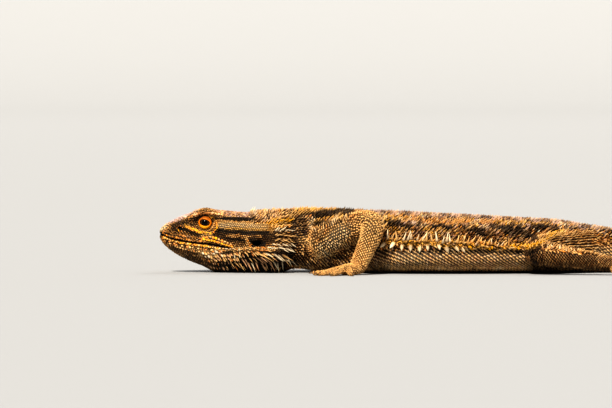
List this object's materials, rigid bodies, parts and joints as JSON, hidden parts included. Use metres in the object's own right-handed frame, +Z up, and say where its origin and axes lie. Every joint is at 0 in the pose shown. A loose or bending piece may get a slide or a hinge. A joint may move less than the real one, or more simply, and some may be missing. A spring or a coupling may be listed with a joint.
{
  "type": "bearded dragon model",
  "caption": "Life-size still model of an adult central bearded dragon lizard, resting flat on its belly with its head low and its legs folded beside it.",
  "frame": {"origin": "middle of the belly where it rests on the floor, 130 mm behind the tip of the snout", "axes": "+X towards the tail, -X towards the snout, -Y the animal's left side, +Z up"},
  "size_m": [0.4972, 0.1652, 0.0319],
  "materials": {
    "head": "matt scales, pale on the crown with dark and cream bands on the cheek",
    "beard": "matt dark brown skin with pale spines",
    "back": "matt keeled scales in tan with dark and ochre patches",
    "limb": "matt golden tan keeled scales",
    "tail": "matt keeled scales with darker rings",
    "eye": "glossy orange iris with a dark pupil"
  },
  "bodies": {
    "root": {"eye_left": "eye", "eye_right": "eye", "beard": "beard", "lower_jaw": "beard", "head": "head", "tail_base": "tail", "tail_middle": "tail", "tail_rear": "tail", "upper_arm_left": "limb", "forearm_left": "limb", "hand_left": "limb", "upper_arm_right": "limb", "forearm_right": "limb", "hand_right": "limb", "thigh_left": "limb", "shin_left": "limb", "foot_left": "limb", "thigh_right": "limb", "shin_right": "limb", "foot_right": "limb", "neck": "back", "trunk": "back"}
  },
  "joints": []
}
